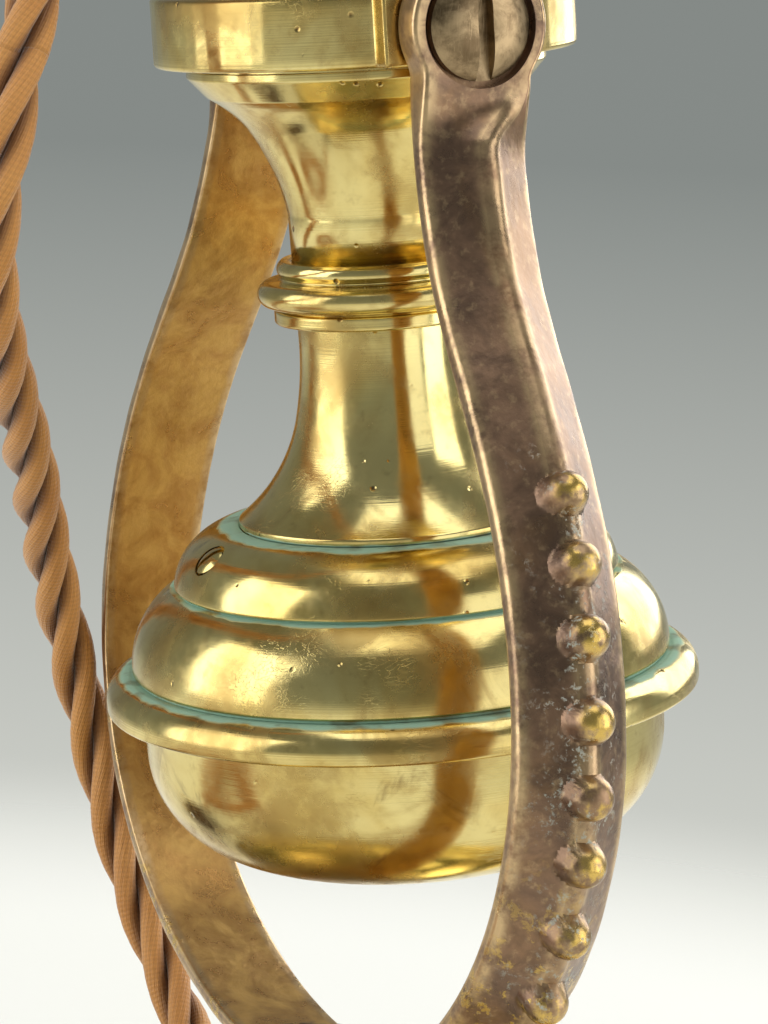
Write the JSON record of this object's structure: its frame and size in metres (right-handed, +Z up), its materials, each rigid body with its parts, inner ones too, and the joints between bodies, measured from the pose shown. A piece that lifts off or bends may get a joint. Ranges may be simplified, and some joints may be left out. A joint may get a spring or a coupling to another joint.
{
  "type": "gimbal lamp",
  "caption": "Brass table lamp whose round body hangs in a ring that swings in a ridged bronze fork on a turned base, with a twisted fabric flex and a small round plug.",
  "frame": {"origin": "centre of the base's underside, where it stands on the table", "axes": "+Z up; +X along the fork's pivots, from the arm that the flex follows to the other; -Y is where the flex leaves the lampholder and the base"},
  "size_m": [0.1501, 0.2407, 0.2703],
  "materials": {
    "old_brass": "polished, tarnished in patches",
    "bronze": "brown patina, worn bright at the edges",
    "dark_steel": "gunmetal, polished",
    "steel": "plain",
    "iron": "rough",
    "felt": "matt",
    "silk": "braided, satin",
    "ceramic": "unglazed",
    "bakelite": "dark brown",
    "rubber": "matt",
    "glass": "clear",
    "bright_brass": "plain"
  },
  "bodies": {
    "base": {"base_shell": "old_brass", "base_felt": "felt", "base_weight": "iron", "stud_washer": "steel", "stud_nut": "steel", "stem": "old_brass", "stem_stud": "steel", "foot_nut": "old_brass", "inlet_bush": "old_brass", "exit_sleeve": "rubber", "yoke": "bronze", "flex_drop": "silk", "flex_run": "silk", "flex_coil": "silk", "flex_lead": "silk", "plug_body": "bakelite", "plug_cover": "bakelite", "plug_pins": "bright_brass", "plug_screw": "steel"},
    "ring": {"gimbal_ring": "old_brass", "pivot_screws": "dark_steel", "pivot_washers": "bright_brass", "inner_pins": "steel"},
    "lamp": {"drum": "old_brass", "drum_bushes": "bright_brass", "flare": "old_brass", "collar": "old_brass", "lower_neck": "old_brass", "shoulder_cover": "old_brass", "shoulder_screws": "dark_steel", "screw_strap": "steel", "rim_ring": "old_brass", "bowl": "old_brass", "ballast": "iron", "tie_rod": "bright_brass", "bottom_nut": "old_brass", "drum_cover": "old_brass", "lock_nut": "old_brass", "holder_base": "old_brass", "outlet_bush": "old_brass", "holder_insulator": "ceramic", "plungers": "bright_brass", "plunger_springs": "steel", "terminals": "bright_brass", "terminal_screws": "steel", "holder_shell": "old_brass", "shade_ring": "old_brass", "bulb_cap": "bright_brass", "bulb_base": "bakelite", "bulb_contacts": "bright_brass", "bulb_glass": "glass", "bulb_stem": "glass", "filament": "steel", "flex_tail": "silk"}
  },
  "joints": [
    {"name": "ring_swing", "type": "hinge", "parent": "base", "child": "ring", "pos_m": [0, 0, 0.156], "axis": [1, 0, 0], "range_deg": [-66.9, 53.1], "deforming": ["flex_drop"]},
    {"name": "lamp_tilt", "type": "hinge", "parent": "ring", "child": "lamp", "pos_m": [0, 0, 0.156], "axis": [0, 0.9928, 0.1201], "range_deg": [-12, 12]}
  ]
}
